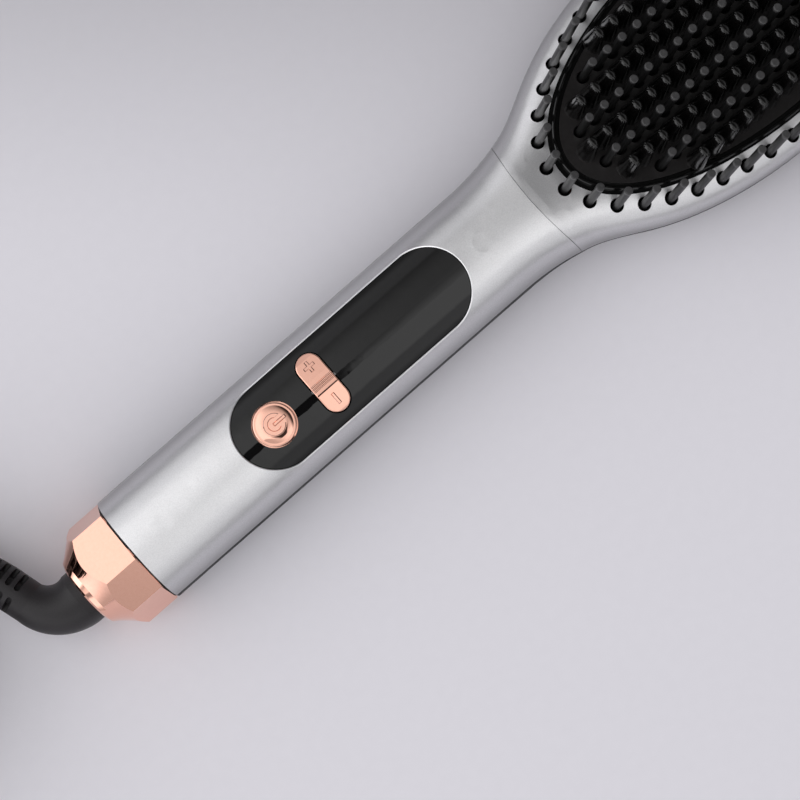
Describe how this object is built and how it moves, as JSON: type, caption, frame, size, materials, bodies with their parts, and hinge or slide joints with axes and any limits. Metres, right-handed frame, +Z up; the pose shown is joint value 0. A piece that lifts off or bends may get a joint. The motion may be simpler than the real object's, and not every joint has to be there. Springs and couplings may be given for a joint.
{
  "type": "steam hair straightener brush",
  "caption": "Heated hair straightening brush: oval bristle head, curved control panel on a slim grip, faceted end collar and swivelling cord.",
  "frame": {"origin": "middle of the brush's length and width, on the surface it lies on (flat strip of its back)", "axes": "+X from the cord's end to the tip of the head, +Z up out of the bristle face, +Y to its left"},
  "size_m": [0.4141, 0.113, 0.0397],
  "materials": {
    "black_shell": "satin",
    "silver_paint": "satin metallic",
    "gloss_black": "gloss",
    "rose_gold": "metallised gloss",
    "steel": "bright",
    "circuit_board": "satin",
    "part_black": "matt",
    "can": "satin",
    "plate_coat": "gloss black ceramic coat",
    "black_silicone": "matt",
    "black_nylon": "satin",
    "ceramic": "matt",
    "clear_plastic": "clear",
    "clear_tube": "clear",
    "white_plastic": "satin",
    "black_rubber": "matt",
    "lead_insulation": "satin",
    "nickel": "bright"
  },
  "bodies": {
    "brush": {"back_shell": "black_shell", "grip_front_shell": "silver_paint", "head_front_shell": "silver_paint", "control_panel": "gloss_black", "rocker_pin": "steel", "control_board": "circuit_board", "mains_board": "circuit_board", "relay": "part_black", "capacitor": "can", "display_module": "gloss_black", "tact_switches": "part_black", "shell_screws": "steel", "plate_rim": "gloss_black", "heater_plate": "plate_coat", "bristle_pad": "black_silicone", "nylon_bristles": "black_nylon", "rim_bristle_carrier": "black_nylon", "rim_bristles": "black_nylon", "ceramic_heaters": "ceramic", "heater_clamp": "steel", "clamp_screws": "steel", "thermal_fuse": "can", "temperature_sensor": "ceramic", "steam_chamber": "can", "water_tank": "clear_plastic", "filling_plug": "black_silicone", "water_tube": "clear_tube", "tail_frame": "black_shell", "end_collar": "rose_gold", "swivel_bush": "white_plastic", "mains_leads": "lead_insulation", "heater_leads": "lead_insulation"},
    "power_button": {"power_key": "rose_gold"},
    "rocker": {"rocker_key": "rose_gold"},
    "swivel": {"swivel_elbow": "black_rubber", "swivel_clip": "steel", "mains_cord": "black_rubber", "cord_coil": "black_rubber", "mains_plug": "black_rubber", "plug_pins": "nickel"}
  },
  "joints": [
    {"name": "power_key_press", "type": "slide", "parent": "brush", "child": "power_button", "axis": [0, 0, -1], "range_m": [0, 0.0005], "stiffness_N_per_m": 3000},
    {"name": "rocker_tilt", "type": "hinge", "parent": "brush", "child": "rocker", "pos_m": [-0.06375, 0, 0.0206], "axis": [1, 0, 0], "range_deg": [-2.5, 2.5], "stiffness_Nm_per_rad": 0.19},
    {"name": "cord_swivel", "type": "hinge", "parent": "brush", "child": "swivel", "pos_m": [-0.13295, 0, 0.01275], "axis": [1, 0, 0], "continuous": true}
  ]
}
